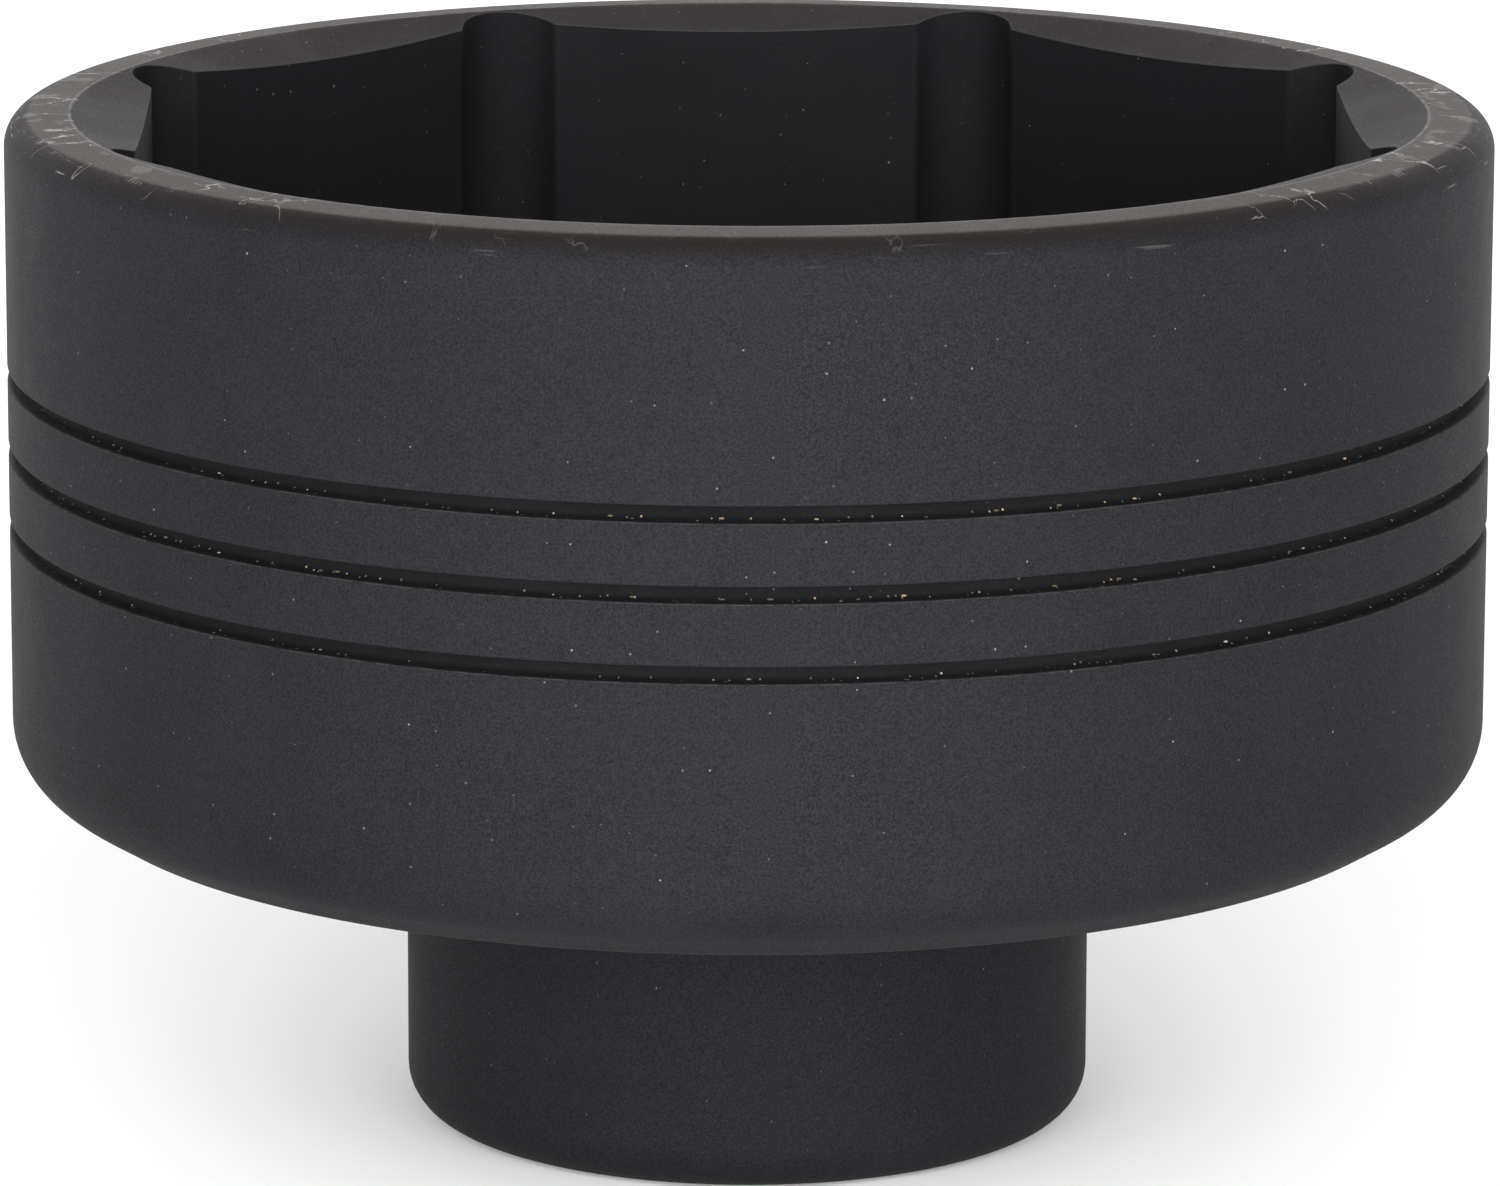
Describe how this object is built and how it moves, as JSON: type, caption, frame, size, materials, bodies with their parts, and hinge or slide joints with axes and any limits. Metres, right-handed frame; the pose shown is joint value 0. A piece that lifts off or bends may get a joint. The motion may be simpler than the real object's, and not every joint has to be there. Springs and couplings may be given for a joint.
{
  "type": "octagon cap wrench",
  "caption": "Eight-sided steel cup wrench on a round drive hub, turned by a square drive to undo large filter housings and hub caps.",
  "frame": {"origin": "centre of the drive face, on which the tool stands", "axes": "+Z along the tool's axis, out of the cup's mouth; two flats of the octagon face along Y"},
  "size_m": [0.117, 0.117, 0.0812],
  "materials": {
    "phosphated_steel": "matt black phosphate on machined steel",
    "weld_metal": "weld bead under the same black phosphate"
  },
  "bodies": {
    "root": {"octagon_cup": "phosphated_steel", "drive_hub": "phosphated_steel", "outer_weld": "weld_metal", "inner_weld": "weld_metal"}
  },
  "joints": []
}
